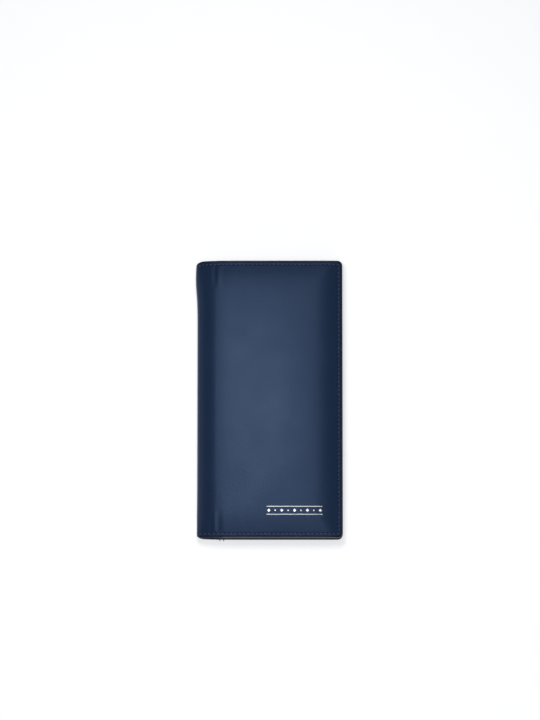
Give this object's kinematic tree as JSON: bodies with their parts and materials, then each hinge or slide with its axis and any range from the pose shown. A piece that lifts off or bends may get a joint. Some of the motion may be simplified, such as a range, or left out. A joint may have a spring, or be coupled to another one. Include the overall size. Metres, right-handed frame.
{
  "type": "long wallet",
  "caption": "Tall two-fold leather wallet with a rounded spine, padded covers sewn round three edges, card pockets, an identity window and a zipped coin pocket.",
  "frame": {"origin": "middle of the face that the closed wallet lies on", "axes": "+X from the spine to the opening edge, +Y up the wallet along the spine, +Z from the back cover to the front cover"},
  "size_m": [0.0954, 0.183, 0.0162],
  "materials": {
    "outer_leather": "smooth dark navy leather with a fine grain and a satin sheen",
    "inner_leather": "smooth navy leather, a little more matt than the outside",
    "lining": "fine woven lining",
    "padding": "board and foam, hidden",
    "thread": "bonded thread, a little lighter than the leather",
    "zip_tape": "woven tape",
    "zip_metal": "nickel plated",
    "window_film": "clear flexible film"
  },
  "bodies": {
    "back_half": {"back_cover": "outer_leather", "back_padding": "padding", "back_lining": "lining", "back_page_panel": "inner_leather", "back_card_slot_1": "inner_leather", "back_card_slot_2": "inner_leather", "back_card_slot_3": "inner_leather", "back_card_slot_4": "inner_leather", "coin_pocket_lining": "lining", "coin_pocket_panel": "inner_leather", "zip_welt": "inner_leather", "zip_tape_upper": "zip_tape", "zip_tape_lower": "zip_tape", "zip_teeth_upper": "zip_metal", "zip_teeth_lower": "zip_metal", "zip_stops": "zip_metal", "back_thread": "thread"},
    "spine_back": {"spine_leather_back": "outer_leather", "spine_lining_back": "lining", "spine_thread_back": "thread"},
    "spine_front": {"spine_leather_front": "outer_leather", "spine_lining_front": "lining", "spine_thread_front": "thread"},
    "front_half": {"front_cover": "outer_leather", "front_padding": "padding", "front_lining": "lining", "front_page_panel": "inner_leather", "front_card_slot_1": "inner_leather", "front_card_slot_2": "inner_leather", "front_card_slot_3": "inner_leather", "front_card_slot_4": "inner_leather", "front_card_slot_5": "inner_leather", "front_card_slot_6": "inner_leather", "front_card_slot_7": "inner_leather", "front_card_slot_8": "inner_leather", "id_window_frame": "inner_leather", "id_window_film": "window_film", "front_thread": "thread"},
    "slider": {"zip_slider": "zip_metal"},
    "pull": {"zip_pull": "zip_metal"}
  },
  "joints": [
    {"name": "spine_fold_back", "type": "hinge", "parent": "back_half", "child": "spine_back", "pos_m": [-0.041, 0, 0.001], "axis": [0, -1, 0], "range_deg": [0, 45]},
    {"name": "spine_fold_middle", "type": "hinge", "parent": "spine_back", "child": "spine_front", "pos_m": [-0.04755, 0, 0.00812], "axis": [0, -1, 0], "range_deg": [0, 90]},
    {"name": "spine_fold_front", "type": "hinge", "parent": "spine_front", "child": "front_half", "pos_m": [-0.041, 0, 0.01524], "axis": [0, -1, 0], "range_deg": [0, 45]},
    {"name": "zip_slide", "type": "slide", "parent": "back_half", "child": "slider", "axis": [1, 0, 0], "range_m": [0, 0.0608]},
    {"name": "pull_swivel", "type": "hinge", "parent": "slider", "child": "pull", "pos_m": [-0.0269, -0.0323, 0.00785], "axis": [0, 0, 1], "range_deg": [-25, 25]}
  ],
  "couplings": [
    {"joint": "spine_fold_back", "follows": "spine_fold_front", "ratio": 1},
    {"joint": "spine_fold_middle", "follows": "spine_fold_front", "ratio": 2}
  ]
}
